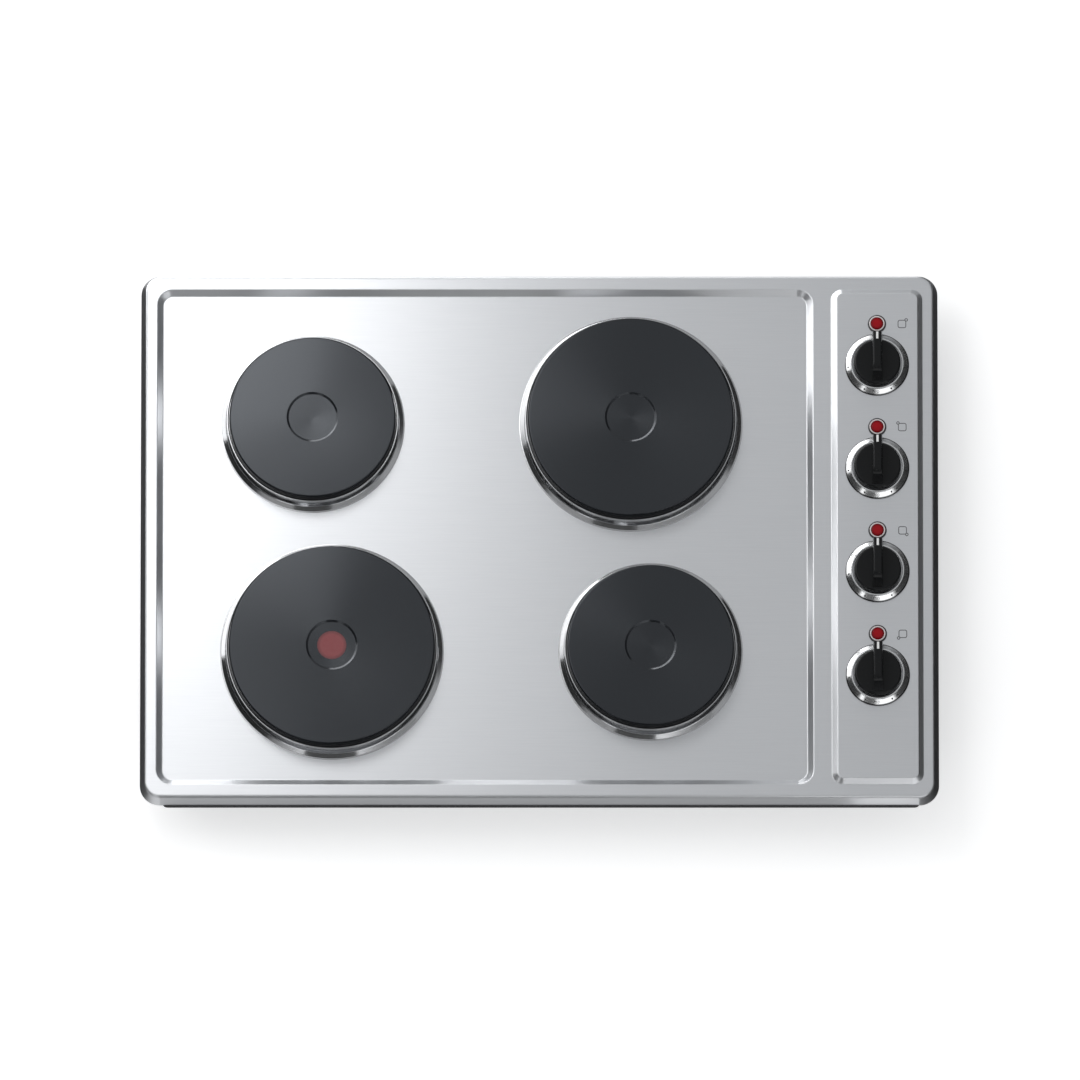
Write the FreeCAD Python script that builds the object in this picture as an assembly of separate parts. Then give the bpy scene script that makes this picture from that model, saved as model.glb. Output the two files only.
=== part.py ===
import FreeCAD
import Part
import math
import os

# Built-in electric hob with four solid cast-iron plates and a control deck on the right.
# Millimetres. +X to the controls, +Y to the back, +Z up, Z = 0 at the underside of the lower box.

Vec = FreeCAD.Vector
UP = Vec(0, 0, 1)

# Pressed top sheet
panel_width = 710.0
panel_depth = 490.0
panel_corner = 18.0
sheet = 0.8
under_depth = 50.0        # worktop face above the box underside
skirt_drop = 13.0
skirt_slope = 4.5
bend = 1.6                # radius of the pressed edges, on the outside of the sheet
rim_side = 14.5           # skirt lip to the recess edge, left and right
rim_front = 16.0          # the same, front and back
recess_depth = 5.0
recess_bevel = 5.2
recess_corner = 14.0
divider = 16.4            # flat between the recess and the control deck
deck_width = 81.5
deck_height = 4.0
deck_bevel = 5.0
deck_corner = 10.0
flat_joint = 3.0          # how far a pressed edge runs on into the flat sheet

# Plates
small_radius = 74.0
large_radius = 91.5
row_pitch = 210.8
margin_left = 64.5        # recess edge to the edge of the nearest plate
margin_right = 70.8
plate_rise = 24.0
plate_rim = 9.0           # depth of the overhanging plate edge
plate_neck = 2.5          # how far the body steps in under that edge
plate_height = 33.0
plate_wall = 5.5
plate_skin = 9.0
dish_radius = 23.0
dish_depth = 1.3
dish_wall = 1.8           # width of the sloped edge of the dish
dish_fall = 0.5           # how far the dish's floor falls to its middle
edge_round = 1.5
cast_round = 0.4
cast_fillet = 2.0
stud_seat = 4.0           # iron underside to the stud's hole
stud_depth = 14.0
stud_tip_gap = 1.0
hub_radius = 12.0
hole_gap = 4.0            # plate edge to the hole in the sheet, all round
ring_foot = 8.0
ring_sheet = 0.5
bead_height = 1.4
ring_lip = 1.5            # how far the collar reaches in under the plate edge
bead_start = 0.9          # plate edge to the points of the bead and the steep wall
bead_inner = 1.5
bead_outer = 3.0
wall_foot = 4.6
wall_rise = 3.2           # height of the flare over the foot
ring_hem = 1.2
coil_wire = 5.0
coil_pitch = 9.0
coil_gap = 1.0            # coil to the iron above it
coil_start = 12.0         # hub to the first turn
filler_gap = 0.4
cover_sheet = 0.6
cover_gap = 0.2
cover_lip = 4.0
stud_radius = 3.0
stud_tail = 10.0
nut_across = 10.0
nut_height = 5.0
strap = 2.0
strap_width = 22.0
strap_drop = 23.0
strap_foot = 9.0
strap_lean = 3.5
strap_bend = 3.0
terminal_long = 38.0
terminal_wide = 18.0
terminal_deep = 12.0
terminal_gap = 14.0       # clamp bridge to the middle of the connector
barrel_radius = 2.6
barrel_pitch = 12.0
limiter_radius = 9.0
limiter_height = 9.0
limiter_flange = 2.5
flange_sheet = 1.5
limiter_gap = 13.0

# Controls
knob_back = 71.15         # back edge of the deck to the first knob
knob_front = 99.75        # front edge of the deck to the last knob
lamp_offset = 38.0
knob_radius = 21.0
knob_lift = 3.6           # knob underside above the deck
knob_depth = 8.0
grip_width = 10.0
grip_draft = 1.3          # each flank leans in by this much
grip_rise = 13.0
grip_nose = 4.0           # how far the pointer reaches past the knob body
knob_wall = 2.2
push_travel = 2.5
bezel_radius = 28.5
bezel_height = 5.6
bezel_bore_gap = 1.2
peg_radius = 1.4
peg_inset = 3.2          # bezel edge to its locating pegs
spindle_radius = 3.0
spindle_flat = 2.2
spindle_hole = 3.0        # spindle to the hole in the deck, all round
spindle_grip = 4.5        # spindle above the knob body's top
shoulder_drop = 6.0       # rail to the spindle's shoulder
thrust_width = 2.0
thrust_height = 2.0
hub_wall = 3.2
running_gap = 0.06
press_gap = 0.05
washer_radius = 8.0
washer_thick = 1.5
washer_play = 0.3
ear_span = 20.0
ear_width = 4.0
ear_gap = 0.5
switch_wide = 44.0
switch_long = 46.0
switch_deep = 30.0
switch_collar = 6.0
switch_collar_rise = 6.0
collar_hole_gap = 0.4
pocket_gap = 0.6
pocket_spare = 5.0
tab_sheet = 0.8
tab_width = 6.3
tab_length = 8.0
tab_sink = 1.0
tab_reach = 12.0          # switch axis to its tabs, both ways
switch_screw_reach = 15.0
switch_screw_head = 3.6
switch_screw_rise = 2.2
switch_screw_sink = 6.0
rail_drop = 12.0
rail_half = 26.0
rail_foot = 8.0
rail_sheet = 1.2
rail_bend = 1.6
rail_end = 16.0           # rail past its last knob and its last lamp
lamp_radius = 5.6
lamp_collar = 8.2
lamp_hole = 1.2           # lens to the hole in the deck, all round
lamp_barrel = 1.0         # wall of the lamp's barrel
lamp_rail_gap = 0.6
lamp_tail = 12.0
lamp_tab_reach = 3.0
lamp_tab_width = 4.8
lens_seat = 1.0
lens_rise = 2.5
collar_rise = 1.5

# Lower box and fixings
box_gap_x = 21.0          # skirt lip to the box wall, left and right
box_gap_y = 23.0
box_corner = 12.0
box_top_gap = 0.6
screw_radius = 2.0
screw_clearance = 0.2
screw_head = 3.8
screw_head_rise = 2.2
screw_length = 7.0
screw_drop = 14.0         # underside of the sheet to the bracket screws
bracket_foot = 18.0
bracket_drop = 24.0
bracket_width = 24.0
bracket_sheet = 1.6
bracket_bend = 2.6
box_floor_edge = 5.0
vent_pitch = 22.0
vent_width = 6.0
vent_length = 68.0
clamp_spread = 130.0      # middle of the hob to its clamps
clamp_top = 40.0
clamp_foot = 5.0
clamp_reach = 18.0
clamp_width = 20.0
clamp_sheet = 1.5
clamp_screw_level = 24.0
clamp_screw_reach = 11.0
clamp_screw_radius = 2.5
clamp_screw_bottom = 0.5
clamp_screw_top = 14.0
clamp_head = 7.0
clamp_head_rise = 3.0
inlet_end = 102.0         # right end of the box to the cable inlet
inlet_level = 26.0
bush_radius = 12.0
bush_bore = 9.0
bush_barrel = 8.0
bush_flange = 3.0
bush_flange_rise = 4.0
bush_gap = 0.1
mains_long = 48.0
mains_wide = 26.0
mains_deep = 24.0
mains_back = 40.0         # back wall to the middle of the mains terminal block
mains_pitch = 14.0
mains_barrel = 3.0
mains_screw = 2.6
mains_level = 9.0
gasket_width = 5.0
gasket_gap = 1.6
wire_radius = 2.0
wire_gap = 0.8
wire_space = 0.4
wire_start = 17.0         # switch axis to its lead
wire_elbow = 5.0
wire_bend = 9.0

# Levels
z_lip = under_depth
z_rim = z_lip + skirt_drop
z_field = z_rim - recess_depth
z_under = z_field - sheet
z_deck = z_rim + deck_height
z_deck_under = z_deck - sheet
z_plate = z_field + plate_rise
z_neck = z_plate - plate_rim
z_iron = z_plate - plate_height
z_cover = z_iron - cover_sheet
z_strap = z_under - strap_drop
z_rail = z_deck_under - rail_drop

# Outlines as (x0, y0, x1, y1)
half_w = panel_width / 2
half_d = panel_depth / 2
lip_box = (-half_w, -half_d, half_w, half_d)
deck_end = half_w - rim_side + 1.0
deck_box = (deck_end - deck_width, -half_d + rim_front, deck_end, half_d - rim_front)
recess_box = (-half_w + rim_side, -half_d + rim_front, deck_box[0] - divider, half_d - rim_front)
wall_box = (-half_w + box_gap_x, -half_d + box_gap_y, half_w - box_gap_x, half_d - box_gap_y)

knob_x = (deck_box[0] + deck_box[2]) / 2
knob_pitch = (deck_box[3] - deck_box[1] - knob_back - knob_front) / 3
peg_reach = bezel_radius - peg_inset
row_y = row_pitch / 2


def burner_x(radius, side):
    if side < 0:
        return recess_box[0] + margin_left + radius
    return recess_box[2] - margin_right - radius


BURNERS = {
    "rear_left": (burner_x(small_radius, -1), row_y, small_radius),
    "rear_right": (burner_x(large_radius, 1), row_y, large_radius),
    "front_left": (burner_x(large_radius, -1), -row_y, large_radius),
    "front_right": (burner_x(small_radius, 1), -row_y, small_radius),
}
# Knobs from the back to the front
CONTROLS = {
    "rear_right": deck_box[3] - knob_back,
    "rear_left": deck_box[3] - knob_back - knob_pitch,
    "front_right": deck_box[3] - knob_back - 2 * knob_pitch,
    "front_left": deck_box[3] - knob_back - 3 * knob_pitch,
}


# Shape helpers

def save(node, shapes):
    """Write one node: a single solid, or a group of separate solids."""
    shape = shapes if not isinstance(shapes, list) else Part.makeCompound(shapes)
    solids = shape.Solids
    bad = [s for s in solids if not s.isValid()]
    print(node, "solids", len(solids), "volume", round(shape.Volume, 1), "INVALID" if bad else "ok")
    shape = solids[0] if len(solids) == 1 else Part.makeCompound(solids)
    shape.exportStep("parts/" + node + ".step")


def grow(box, d):
    return (box[0] - d, box[1] - d, box[2] + d, box[3] + d)


def soft_wire(corners, closed=True):
    """Wire through (point, radius) corners, each rounded by its radius."""
    count = len(corners)
    spots = []
    for i, (point, radius) in enumerate(corners):
        inner = closed or 0 < i < count - 1
        if not inner or radius <= 0:
            spots.append((point, None, point))
            continue
        a = (corners[i - 1][0] - point).normalize()
        b = (corners[(i + 1) % count][0] - point).normalize()
        half = a.getAngle(b) / 2
        run = radius / math.tan(half)
        middle = (a + b).normalize() * (radius / math.sin(half) - radius)
        spots.append((point + a * run, point + middle, point + b * run))
    edges = []
    for i, (start, middle, end) in enumerate(spots):
        if middle is not None:
            edges.append(Part.Arc(start, middle, end).toShape())
        if i < count - 1 or closed:
            following = spots[(i + 1) % count][0]
            if (following - end).Length > 1e-6:
                edges.append(Part.makeLine(end, following))
    return Part.Wire(edges)


def bent_section(points, thick):
    """Closed corner list of a bent sheet: (u, v, radius) along its upper side, offset below."""
    flat = [Vec(u, 0, v) for u, v, r in points]
    count = len(flat)
    normals = []
    for i in range(count - 1):
        run = (flat[i + 1] - flat[i]).normalize()
        normals.append(Vec(run.z, 0, -run.x))
    upper = []
    lower = []
    for i, point in enumerate(flat):
        radius = points[i][2]
        upper.append((point, radius))
        if i in (0, count - 1):
            lower.append((point + normals[min(i, count - 2)] * thick, 0))
            continue
        n0 = normals[i - 1]
        n1 = normals[i]
        miter = (n0 + n1) * (thick / (1 + n0.dot(n1)))
        # The lower side's bend is tighter where the sheet folds down, wider where it folds up
        folds_down = n0.cross(n1).y > 0
        under = max(radius - thick, 0.05) if folds_down else radius + thick
        lower.append((point + miter, under if radius > 0 else 0))
    return upper + lower[::-1]


def section_face(corners):
    return Part.Face(soft_wire(corners))


def turned(corners, x=0, y=0):
    """Solid of revolution about Z of (r, z, radius) corners."""
    face = section_face([(Vec(r, 0, z), f) for r, z, f in corners])
    solid = face.revolve(Vec(0, 0, 0), UP, 360)
    solid.translate(Vec(x, y, 0))
    return solid


def turned_sheet(points, thick, x, y):
    face = section_face(bent_section(points, thick))
    solid = face.revolve(Vec(0, 0, 0), UP, 360)
    solid.translate(Vec(x, y, 0))
    return solid


def strip(points, thick, width, origin, along):
    """Bent strip: the section lies in the vertical plane along a direction, its width across it."""
    face = section_face(bent_section(points, thick))
    solid = face.extrude(Vec(0, width, 0))
    solid.translate(Vec(0, -width / 2, 0))
    solid.rotate(Vec(0, 0, 0), UP, along)
    solid.translate(origin)
    return solid


def rounded_rect(box, radius, z):
    x0, y0, x1, y1 = box
    points = [Vec(x0, y0, z), Vec(x1, y0, z), Vec(x1, y1, z), Vec(x0, y1, z)]
    return soft_wire([(p, radius) for p in points])


def slab(box, radius, z0, z1):
    return Part.Face(rounded_rect(box, radius, z0)).extrude(Vec(0, 0, z1 - z0))


def frame_sweep(corners, box, radius):
    """Carry a section round a rounded rectangle; its u runs inwards from the outline."""
    x0, y0, x1, y1 = box
    face = section_face(corners)
    sides = [(x0, y0, x1 - x0, 0), (x1, y0, y1 - y0, 90), (x1, y1, x1 - x0, 180), (x0, y1, y1 - y0, 270)]
    pieces = []
    for x, y, length, angle in sides:
        side = face.copy()
        side.rotate(Vec(0, 0, 0), UP, 90)
        side.translate(Vec(radius, 0, 0))
        run = side.extrude(Vec(length - 2 * radius, 0, 0))
        side.translate(Vec(length - 2 * radius, 0, 0))
        turn = side.revolve(Vec(length - radius, radius, 0), UP, 90)
        for solid in (run, turn):
            solid.rotate(Vec(0, 0, 0), UP, angle)
            solid.translate(Vec(x, y, 0))
            pieces.append(solid)
    return pieces


def fuse(pieces):
    return pieces[0].multiFuse(pieces[1:]).removeSplitter()


def disc(radius, z0, z1, x=0, y=0):
    return Part.makeCylinder(radius, z1 - z0, Vec(x, y, z0))


def block(size_x, size_y, z0, z1, x, y):
    return Part.makeBox(size_x, size_y, z1 - z0, Vec(x - size_x / 2, y - size_y / 2, z0))


def hexagon(across, z0, z1, x, y):
    r = across / math.sqrt(3)
    points = [Vec(x + r * math.cos(k * math.pi / 3), y + r * math.sin(k * math.pi / 3), z0) for k in range(7)]
    return Part.Face(Part.makePolygon(points)).extrude(Vec(0, 0, z1 - z0))


def tube_along(corners, radius):
    """Round wire along rounded (point, radius) corners."""
    path = soft_wire(corners, closed=False)
    start = corners[0][0]
    run = (corners[1][0] - start).normalize()
    ring = Part.Wire(Part.makeCircle(radius, start, run))
    return path.makePipeShell([ring], True, False)


# Top sheet

def recess_section():
    """Rim flat, sloped wall, recess floor."""
    return bent_section([
        (-flat_joint, z_rim, 0), (0, z_rim, bend),
        (recess_bevel, z_field, bend), (recess_bevel + flat_joint, z_field, 0)], sheet)


def deck_section():
    """Rim flat, sloped wall up, deck top."""
    return bent_section([
        (-flat_joint, z_rim, 0), (0, z_rim, bend),
        (deck_bevel, z_deck, bend), (deck_bevel + flat_joint, z_deck, 0)], sheet)


def skirt_section():
    """Skirt lip, slope up, rim flat."""
    # The cut edge is square to the slope, so its inner corner is the one that meets the worktop
    edge = sheet * skirt_slope / math.hypot(skirt_slope, skirt_drop)
    return bent_section([
        (0, z_lip + edge, 0), (skirt_slope, z_rim, 2 * bend),
        (skirt_slope + flat_joint + bend, z_rim, 0)], sheet)


def deck_holes():
    holes = []
    for y in CONTROLS.values():
        holes.append(disc(spindle_radius + spindle_hole, z_deck - 5, z_deck + 5, knob_x, y))
        holes.append(disc(lamp_radius + lamp_hole, z_deck - 5, z_deck + 5, knob_x, y + lamp_offset))
        for side in (-1, 1):
            holes.append(disc(peg_radius + 0.3, z_deck - 5, z_deck + 5, knob_x, y + side * peg_reach))
    return holes


def make_top():
    skirt = frame_sweep(skirt_section(), lip_box, panel_corner)
    recess = frame_sweep(recess_section(), recess_box, recess_corner)
    deck = frame_sweep(deck_section(), deck_box, deck_corner)
    inset = skirt_slope + flat_joint + bend
    rim_flat = slab(grow(lip_box, -inset), panel_corner - inset, z_rim - sheet, z_rim)
    for box, radius in ((recess_box, recess_corner), (deck_box, deck_corner)):
        rim_flat = rim_flat.cut(slab(grow(box, flat_joint), radius + flat_joint, z_rim - 5, z_rim + 5))
    inset = recess_bevel + flat_joint
    floor = slab(grow(recess_box, -inset), recess_corner - inset, z_under, z_field)
    for x, y, radius in BURNERS.values():
        floor = floor.cut(disc(radius + hole_gap, z_under - 5, z_field + 5, x, y))
    inset = deck_bevel + flat_joint
    top = slab(grow(deck_box, -inset), deck_corner - inset, z_deck_under, z_deck)
    for hole in deck_holes():
        top = top.cut(hole)
    save("hob_top", fuse(skirt + recess + deck + [rim_flat, floor, top]))


def make_gasket():
    """Foam strip in the channel under the rim, flush with the skirt lip."""
    outside = skirt_slope + sheet + gasket_gap
    outer = slab(grow(lip_box, -outside), panel_corner - outside, z_lip, z_rim - sheet)
    inside = outside + gasket_width
    inner = slab(grow(lip_box, -inside), panel_corner - inside, z_lip - 1, z_rim)
    save("rim_gasket", outer.cut(inner))


# Plates

def make_hotplate(name, x, y, radius):
    body = radius - plate_neck
    floor = z_plate - dish_depth
    seat = z_iron + stud_seat
    ceiling = z_plate - plate_skin
    corners = [
        (0, floor - dish_fall, 0), (dish_radius - dish_wall, floor, cast_round),
        (dish_radius, z_plate, cast_round), (radius, z_plate, edge_round), (radius, z_neck, cast_round),
        (body, z_neck, cast_round), (body, z_iron, cast_round), (body - plate_wall, z_iron, cast_round),
        (body - plate_wall, ceiling, cast_fillet), (hub_radius, ceiling, cast_fillet),
        (hub_radius, seat, cast_round), (stud_radius + press_gap, seat, 0),
        (stud_radius + press_gap, seat + stud_depth, 0), (0, seat + stud_depth, 0)]
    save("hotplate_" + name, turned(corners, x, y))


def make_spill_ring(name, x, y, radius):
    """Steel collar: a lip held under the plate edge, a bead, a steep wall and a flared foot."""
    foot = z_field + ring_sheet
    points = [
        (radius - ring_lip, z_neck, 0), (radius + bead_start, z_neck, ring_sheet + press_gap),
        (radius + bead_inner, z_neck + bead_height, ring_sheet + press_gap),
        (radius + bead_outer, z_neck + bead_height, 0.9), (radius + wall_foot, foot + wall_rise, 2.2),
        (radius + ring_foot - ring_hem, foot, ring_hem), (radius + ring_foot, foot, 0)]
    save("spill_ring_" + name, turned_sheet(points, ring_sheet, x, y))


def coil_path(radius, z):
    """Flat spiral of half turns, tangent where they meet."""
    inner = hub_radius + coil_start
    outer = radius - plate_neck - plate_wall - coil_wire
    turns = max(1, int((outer - inner) / coil_pitch))
    edges = []
    r = inner
    for k in range(turns):
        edges.append(Part.makeCircle(r, Vec(0, 0, z), UP, 0, 180))
        edges.append(Part.makeCircle(r + coil_pitch / 2, Vec(coil_pitch / 2, 0, z), UP, 180, 360))
        r += coil_pitch
    return Part.Wire(edges), inner


def make_coil(name, x, y, radius):
    z = z_plate - plate_skin - coil_gap - coil_wire / 2
    path, inner = coil_path(radius, z)
    ring = Part.Wire(Part.makeCircle(coil_wire / 2, Vec(inner, 0, z), Vec(0, 1, 0)))
    coil = path.makePipeShell([ring], True, False)
    coil.translate(Vec(x, y, 0))
    expected = math.pi * coil_wire ** 2 / 4 * path.Length
    print("heating_coil_" + name, "volume against section x length", round(coil.Volume / expected, 4))
    save("heating_coil_" + name, coil)


def coil_filler(x, y, radius):
    """Ceramic ring that fills the iron body under the coil."""
    top = z_plate - plate_skin - coil_gap - coil_wire
    outer = radius - plate_neck - plate_wall - filler_gap
    ring = disc(outer, z_iron, top, x, y)
    return ring.cut(disc(hub_radius + filler_gap, z_iron - 1, top + 1, x, y))


def base_cover(x, y, radius):
    lip = radius - plate_neck + cover_gap + cover_sheet
    return turned_sheet([
        (stud_radius + filler_gap, z_iron, 0), (lip - cover_sheet, z_iron, 0.5),
        (lip - cover_sheet, z_iron + cover_lip, 0)], cover_sheet, x, y)


def plate_stud(x, y, radius):
    tip = z_iron + stud_seat + stud_depth - stud_tip_gap
    return disc(stud_radius, z_strap - strap - stud_tail, tip, x, y)


def stud_nut(x, y, radius):
    top = z_strap - strap
    nut = hexagon(nut_across, top - nut_height, top, x, y)
    return nut.cut(disc(stud_radius + press_gap, top - 2 * nut_height, top + strap, x, y))


def make_bridge(name, x, y, radius):
    """Sprung strap under the sheet that draws the plate down on its collar."""
    end = radius + hole_gap + strap_foot
    knee = radius + hole_gap - 1.0
    base = knee - strap_lean
    points = [
        (-end, z_under, 0), (-knee, z_under, strap_bend), (-base, z_strap, strap_bend),
        (base, z_strap, strap_bend), (knee, z_under, strap_bend), (end, z_under, 0)]
    bridge = strip(points, strap, strap_width, Vec(x, y, 0), 0)
    save("clamp_bridge_" + name, bridge.cut(disc(stud_radius + 0.3, 0, z_under, x, y)))


def terminal_y(y):
    return y + strap_width / 2 + terminal_gap


def burner_terminal(x, y, radius):
    """Ceramic connector with three screw barrels, hung under the base cover."""
    centre = terminal_y(y)
    body = block(terminal_long, terminal_wide, z_cover - terminal_deep, z_cover, x, centre)
    for k in (-1, 0, 1):
        start = Vec(x + k * barrel_pitch, centre - terminal_wide, z_cover - terminal_deep / 2)
        body = body.cut(Part.makeCylinder(barrel_radius, 2 * terminal_wide, start, Vec(0, 1, 0)))
    return body


def make_limiter():
    """Overheat cut-out of the plate that carries the red mark."""
    x, y, radius = BURNERS["front_left"]
    centre = y - strap_width / 2 - limiter_gap
    can = disc(limiter_radius, z_cover - limiter_height, z_cover, x, centre)
    flange = disc(limiter_radius + limiter_flange, z_cover - flange_sheet, z_cover, x, centre)
    save("thermal_limiter", can.fuse(flange).removeSplitter())


# Controls

def make_bezel(name, y):
    bore = knob_radius + bezel_bore_gap
    top = z_deck + bezel_height
    ring = turned([
        (bore, z_deck, 0), (bezel_radius, z_deck, 0), (bezel_radius, z_deck + 1.0, 0.4),
        (bore + 1.7, top - 0.8, 0.5), (bore + 1.2, top, 0.3), (bore, top, 0.4)], knob_x, y)
    for side in (-1, 1):
        ring = ring.fuse(disc(peg_radius, z_deck_under - 2.0, z_deck + 0.5, knob_x, y + side * peg_reach))
    save("dial_bezel_" + name, ring.removeSplitter())


def grip_solid(y):
    """Straight-sided ridge with a pointer nose at the back and a sloped front end."""
    low = z_deck + knob_lift + knob_depth
    top = low + grip_rise
    nose = knob_radius + grip_nose
    side = soft_wire([
        (Vec(0, -knob_radius + 3.0, low - 3.0), 0), (Vec(0, knob_radius - 3.0, low - 3.0), 0),
        (Vec(0, nose, low + 3.0), 1.5), (Vec(0, nose, top), 1.8),
        (Vec(0, -knob_radius + 11.0, top), 9.0), (Vec(0, -knob_radius + 3.0, low), 4.0)])
    ridge = Part.Face(side).extrude(Vec(2 * grip_width, 0, 0))
    ridge.translate(Vec(-grip_width, 0, 0))
    foot = grip_width / 2
    crest = foot - grip_draft
    ends = soft_wire([
        (Vec(-foot, 0, low - 4.0), 0), (Vec(foot, 0, low - 4.0), 0),
        (Vec(crest, 0, top), 1.2), (Vec(-crest, 0, top), 1.2)])
    taper = Part.Face(ends).extrude(Vec(0, 4 * knob_radius, 0))
    taper.translate(Vec(0, -2 * knob_radius, 0))
    ridge = ridge.common(taper)
    ridge.translate(Vec(knob_x, y, 0))
    return ridge


def spindle_profile(radius, flat, z0, z1, y):
    """Round bar with one flat on the front side."""
    bar = disc(radius, z0, z1, knob_x, y)
    return bar.cut(block(4 * radius, 2 * radius, z0 - 1, z1 + 1, knob_x, y - flat - radius))


def make_knob(name, y):
    low = z_deck + knob_lift
    top = low + knob_depth
    body = turned([
        (0, low, 0), (knob_radius, low, 0.5), (knob_radius, top, 2.4), (0, top, 0)], knob_x, y)
    knob = body.fuse(grip_solid(y)).removeSplitter()
    hub = spindle_radius + hub_wall
    hollow = turned([
        (hub, low - 1, 0), (knob_radius - knob_wall, low - 1, 0),
        (knob_radius - knob_wall, top - knob_wall, 1.0), (hub, top - knob_wall, 1.0)], knob_x, y)
    bore = spindle_profile(
        spindle_radius + press_gap, spindle_flat + press_gap, low - 1, top + spindle_grip + 0.5, y)
    save("knob_" + name, knob.cut(hollow).cut(bore))


def spindle_levels():
    top = z_deck + knob_lift + knob_depth + spindle_grip
    shoulder = z_rail - shoulder_drop
    return top, shoulder


def make_spindle(name, y):
    """Flatted spindle with a thrust shoulder under the push washer."""
    top, shoulder = spindle_levels()
    flatted = spindle_profile(spindle_radius, spindle_flat, z_deck + 1.0, top, y)
    plain = disc(spindle_radius, shoulder - thrust_height, z_deck + 1.0, knob_x, y)
    thrust = disc(spindle_radius + thrust_width, shoulder - thrust_height, shoulder, knob_x, y)
    save("spindle_" + name, flatted.fuse(plain).fuse(thrust).removeSplitter())


def make_washer(name, y):
    """Push washer: slides in the switch with the spindle, held from turning by two ears."""
    top, shoulder = spindle_levels()
    washer = disc(washer_radius, shoulder, shoulder + washer_thick, knob_x, y)
    ears = block(ear_span, ear_width, shoulder, shoulder + washer_thick, knob_x, y)
    washer = washer.fuse(ears).removeSplitter()
    save("push_washer_" + name, washer.cut(disc(spindle_radius + running_gap, 0, z_rim, knob_x, y)))


def make_switch(name, y):
    """Energy regulator: moulded case with a collar that guides the spindle, and four tabs below."""
    top, shoulder = spindle_levels()
    case = block(switch_wide, switch_long, z_rail - switch_deep, z_rail, knob_x, y)
    collar = disc(switch_collar, z_rail - 1, z_rail + switch_collar_rise, knob_x, y)
    case = case.fuse(collar).removeSplitter()
    pocket_top = shoulder + washer_thick + washer_play
    pocket_low = shoulder - push_travel - pocket_spare
    pocket = disc(washer_radius + pocket_gap, pocket_low, pocket_top, knob_x, y)
    slots = block(ear_span + 2 * ear_gap, ear_width + 2 * ear_gap, pocket_low, pocket_top, knob_x, y)
    case = case.cut(pocket).cut(slots)
    case = case.cut(disc(spindle_radius + running_gap, shoulder, z_rail + 10, knob_x, y))
    low = z_rail - switch_deep
    for sx in (-1, 1):
        for sy in (-1, 1):
            x = knob_x + sx * tab_reach
            tab = block(tab_sheet, tab_width, low - tab_length, low + tab_sink, x, y + sy * tab_reach)
            case = case.fuse(tab)
    for side in (-1, 1):
        x = knob_x + side * switch_screw_reach
        case = case.cut(disc(screw_radius + press_gap, z_rail - switch_screw_sink - 1, z_rail + 1, x, y))
    save("switch_body_" + name, case.removeSplitter())


def switch_screws(y):
    screws = []
    for side in (-1, 1):
        x = knob_x + side * switch_screw_reach
        seat = z_rail + rail_sheet
        head = disc(switch_screw_head, seat, seat + switch_screw_rise, x, y)
        shank = disc(screw_radius, z_rail - switch_screw_sink, seat, x, y)
        screws.append(head.fuse(shank).removeSplitter())
    return screws


def make_rail():
    """Hat channel under the deck that carries the switches."""
    floor = z_rail + rail_sheet
    reach = rail_half + rail_foot
    inside = rail_bend + 0.8
    points = [
        (-reach, z_deck_under, 0), (-rail_half, z_deck_under, rail_bend), (-rail_half, floor, inside),
        (rail_half, floor, inside), (rail_half, z_deck_under, rail_bend), (reach, z_deck_under, 0)]
    first = CONTROLS["front_left"] - rail_end
    last = CONTROLS["rear_right"] + lamp_offset + rail_end
    rail = strip(points, rail_sheet, last - first, Vec(knob_x, (first + last) / 2, 0), 0)
    lamp_hole_radius = lamp_radius + lamp_barrel + lamp_rail_gap
    for y in CONTROLS.values():
        rail = rail.cut(disc(switch_collar + collar_hole_gap, z_rail - 1, floor + 1, knob_x, y))
        rail = rail.cut(disc(lamp_hole_radius, z_rail - 1, floor + 1, knob_x, y + lamp_offset))
        for side in (-1, 1):
            x = knob_x + side * switch_screw_reach
            rail = rail.cut(disc(screw_radius + screw_clearance, z_rail - 1, floor + 1, x, y))
    save("switch_rail", rail)


def make_lens(name, y):
    """Red lens with a shallow dome, seated in the lamp collar."""
    at = y + lamp_offset
    top = z_deck + lens_rise
    save("lamp_lens_" + name, turned([
        (0, z_deck - lens_seat, 0), (lamp_radius, z_deck - lens_seat, 0), (lamp_radius, top - 0.8, 0.4),
        (lamp_radius - 1.2, top - 0.2, 1.5), (0, top, 0)], knob_x, at))


def lamp_body(y):
    """Lamp holder: collar on the deck, barrel through the sheet and the rail."""
    at = y + lamp_offset
    barrel = lamp_radius + lamp_barrel
    seat = lamp_radius + press_gap
    low = z_rail - lamp_tail
    top = z_deck + collar_rise
    body = turned([
        (0, low, 0), (barrel, low, 0.5), (barrel, z_deck, 0), (lamp_collar, z_deck, 0),
        (lamp_collar, top - 0.6, 0.5), (lamp_collar - 1.0, top, 0.4), (seat, top, 0),
        (seat, z_deck - lens_seat, 0), (0, z_deck - lens_seat, 0)], knob_x, at)
    for side in (-1, 1):
        x = knob_x + side * lamp_tab_reach
        body = body.fuse(block(tab_sheet, lamp_tab_width, low - tab_length, low + tab_sink, x, at))
    return body.removeSplitter()


# Lower box and fixings

# Wall: a point on its outer face and the direction that it faces, in degrees
WALLS = {
    "front": (0.0, wall_box[1], -90),
    "back": (0.0, wall_box[3], 90),
    "left": (wall_box[0], 0.0, 180),
    "right": (wall_box[2], 0.0, 0),
}
BRACKETS = [(wall, x) for wall in ("front", "back") for x in (-230.0, 0.0, 190.0)]
CLAMPS = [(wall, y) for wall in ("left", "right") for y in (-clamp_spread, clamp_spread)]
OUT = Vec(1, 0, 0)
z_screw = z_under - screw_drop
inlet_x = wall_box[2] - inlet_end


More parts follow.
